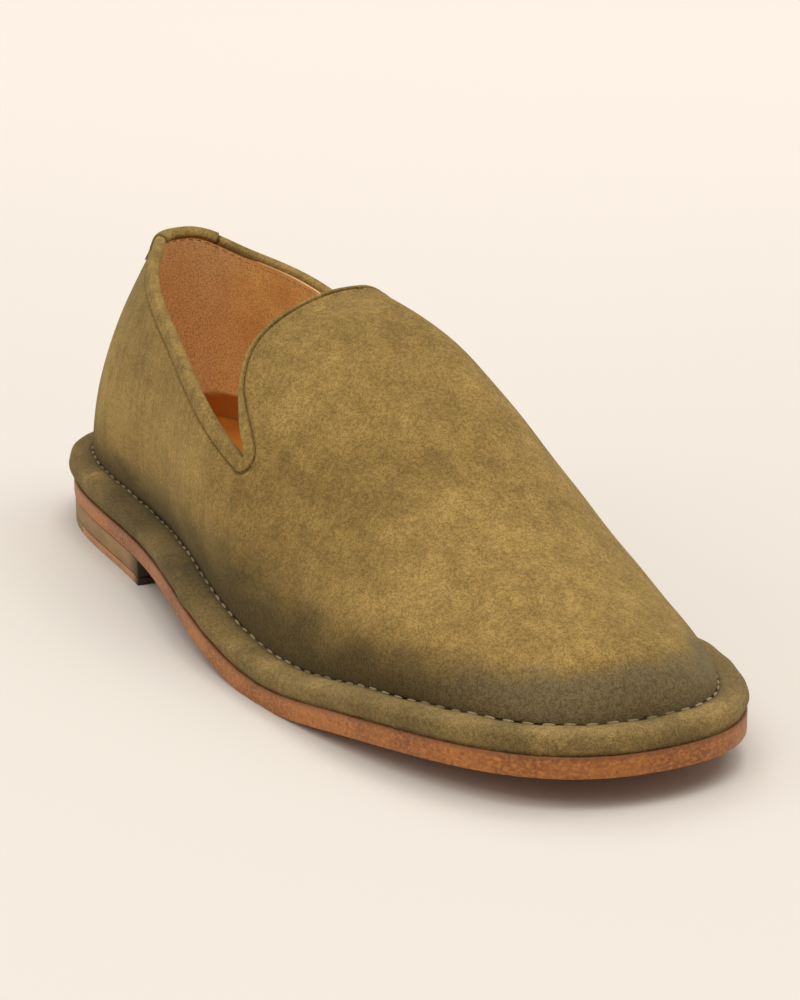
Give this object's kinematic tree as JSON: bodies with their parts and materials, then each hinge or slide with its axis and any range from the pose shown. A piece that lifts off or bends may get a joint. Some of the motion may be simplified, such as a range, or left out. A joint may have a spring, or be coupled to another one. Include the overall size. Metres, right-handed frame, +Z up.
{
  "type": "loafer",
  "caption": "Right suede slip-on loafer: hollow upper with a tongue-shaped vamp and notched collar, on a padded covered midsole, leather outsole and low heel.",
  "frame": {"origin": "on the floor, under the middle of the shoe's box", "axes": "+X towards the toe, +Y towards the big-toe side, +Z up"},
  "size_m": [0.2914, 0.1008, 0.0841],
  "materials": {
    "suede": "olive suede, napped and worn",
    "rim_suede": "olive suede over a padded rim, rubbed dark",
    "sole_leather": "natural tan sole leather, waxed edge",
    "lift_leather": "olive brown stained edge",
    "quarter_rubber": "matte olive brown",
    "insole_leather": "smooth brown sheepskin"
  },
  "bodies": {
    "root": {"upper": "suede", "midsole": "rim_suede", "outsole": "sole_leather", "heel_lift": "lift_leather", "top_piece": "sole_leather", "heel_quarter": "quarter_rubber", "insole": "insole_leather"}
  },
  "joints": []
}
